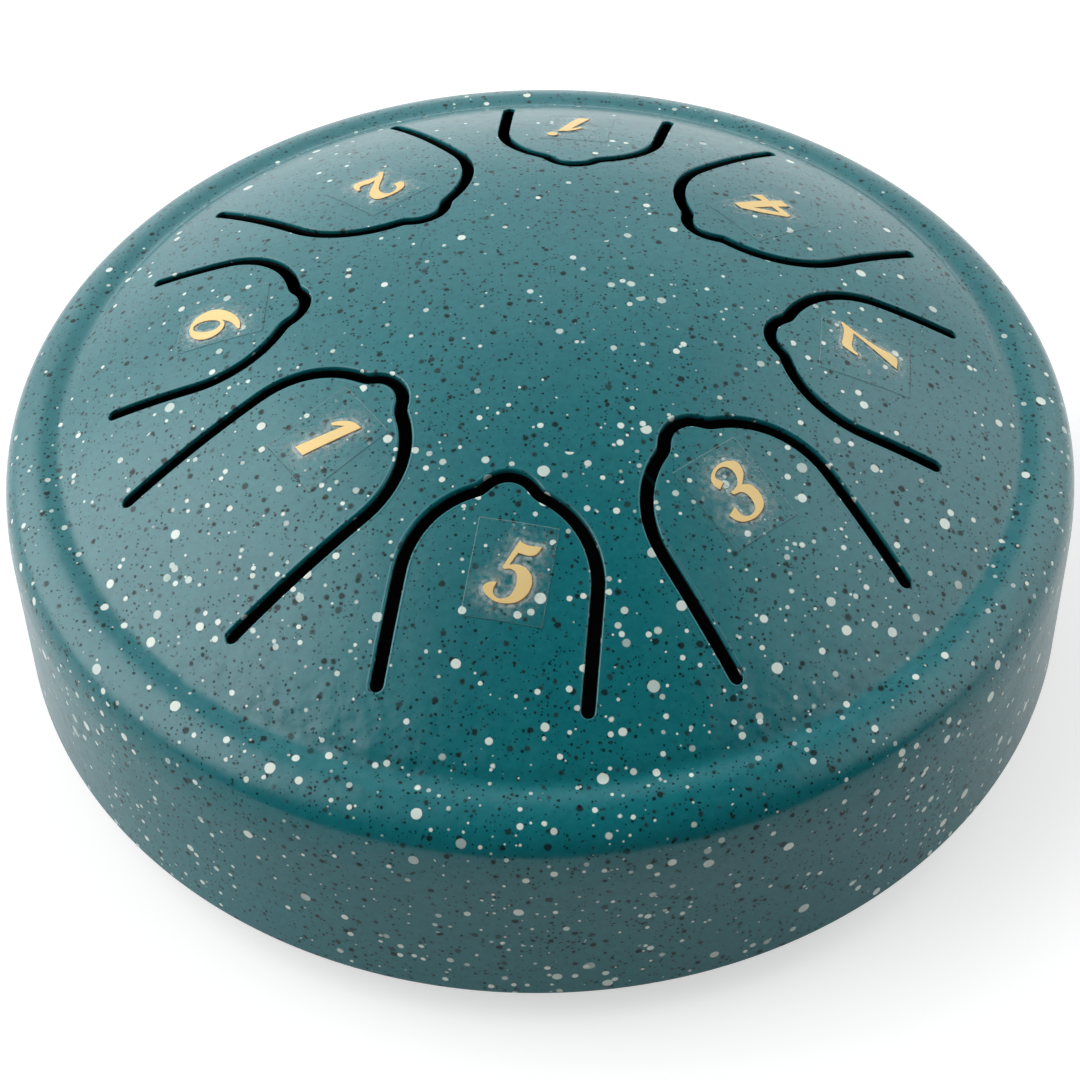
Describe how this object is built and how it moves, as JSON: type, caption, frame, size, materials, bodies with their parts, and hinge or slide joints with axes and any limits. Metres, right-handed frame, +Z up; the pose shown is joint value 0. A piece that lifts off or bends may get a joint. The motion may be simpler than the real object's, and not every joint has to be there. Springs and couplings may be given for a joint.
{
  "type": "steel tongue drum",
  "caption": "Small round steel tongue drum in speckled teal enamel, with slotted tongues, numbered clear stickers and rubber feet",
  "frame": {"origin": "middle of the circle on which the feet rest, on the table plane", "axes": "+Z up along the drum's axis, -Y towards the player and tongue 5, +X to the player's right"},
  "size_m": [0.1526, 0.1526, 0.0562],
  "materials": {
    "enamel": "glossy speckled teal enamel, stove-dried over stamped steel",
    "clear_film": "clear glossy self-adhesive film",
    "gold_print": "gold foil print",
    "rubber": "matt black moulded rubber",
    "zinc": "bright zinc plate on small screws, washers and nuts"
  },
  "bodies": {
    "drum": {"top_shell": "enamel", "base_plate": "enamel", "seam_weld": "enamel", "foot_back": "rubber", "foot_left": "rubber", "foot_right": "rubber", "foot_screws": "zinc", "foot_washers": "zinc", "foot_nuts": "zinc"},
    "tongue_1_body": {"tongue_1": "enamel", "film_1": "clear_film", "numeral_1": "gold_print"},
    "tongue_2_body": {"tongue_2": "enamel", "film_2": "clear_film", "numeral_2": "gold_print"},
    "tongue_3_body": {"tongue_3": "enamel", "film_3": "clear_film", "numeral_3": "gold_print"},
    "tongue_4_body": {"tongue_4": "enamel", "film_4": "clear_film", "numeral_4": "gold_print"},
    "tongue_5_body": {"tongue_5": "enamel", "film_5": "clear_film", "numeral_5": "gold_print"},
    "tongue_6_body": {"tongue_6": "enamel", "film_6": "clear_film", "numeral_6": "gold_print"},
    "tongue_7_body": {"tongue_7": "enamel", "film_7": "clear_film", "numeral_7": "gold_print"},
    "tongue_high_1_body": {"tongue_high_1": "enamel", "film_high_1": "clear_film", "numeral_high_1": "gold_print"}
  },
  "joints": [
    {"name": "tongue_1_flex", "type": "hinge", "parent": "drum", "child": "tongue_1_body", "pos_m": [-0.04629, -0.03399, 0.0417], "axis": [0.5596, -0.8288, 0], "range_deg": [-0.8, 0.8], "stiffness_Nm_per_rad": 38},
    {"name": "tongue_2_flex", "type": "hinge", "parent": "drum", "child": "tongue_2_body", "pos_m": [-0.03402, 0.04645, 0.04163], "axis": [-0.7558, -0.6548, 0], "range_deg": [-0.8, 0.8], "stiffness_Nm_per_rad": 49},
    {"name": "tongue_3_flex", "type": "hinge", "parent": "drum", "child": "tongue_3_body", "pos_m": [0.03458, -0.04621, 0.04156], "axis": [0.8291, 0.5592, 0], "range_deg": [-0.8, 0.8], "stiffness_Nm_per_rad": 41},
    {"name": "tongue_4_flex", "type": "hinge", "parent": "drum", "child": "tongue_4_body", "pos_m": [0.04536, 0.03593, 0.04147], "axis": [-0.5868, 0.8097, 0], "range_deg": [-0.8, 0.8], "stiffness_Nm_per_rad": 49},
    {"name": "tongue_5_flex", "type": "hinge", "parent": "drum", "child": "tongue_5_body", "pos_m": [-0.00758, -0.05629, 0.04202], "axis": [0.9859, -0.1675, 0], "range_deg": [-0.8, 0.8], "stiffness_Nm_per_rad": 40},
    {"name": "tongue_6_flex", "type": "hinge", "parent": "drum", "child": "tongue_6_body", "pos_m": [-0.05591, 0.00661, 0.04227], "axis": [-0.1287, -0.9917, 0], "range_deg": [-0.8, 0.8], "stiffness_Nm_per_rad": 40},
    {"name": "tongue_7_flex", "type": "hinge", "parent": "drum", "child": "tongue_7_body", "pos_m": [0.05478, -0.00747, 0.04276], "axis": [0.2221, 0.975, 0], "range_deg": [-0.8, 0.8], "stiffness_Nm_per_rad": 47},
    {"name": "tongue_high_1_flex", "type": "hinge", "parent": "drum", "child": "tongue_high_1_body", "pos_m": [0.0088, 0.05891, 0.04059], "axis": [-0.9786, 0.2058, 0], "range_deg": [-0.8, 0.8], "stiffness_Nm_per_rad": 58}
  ]
}
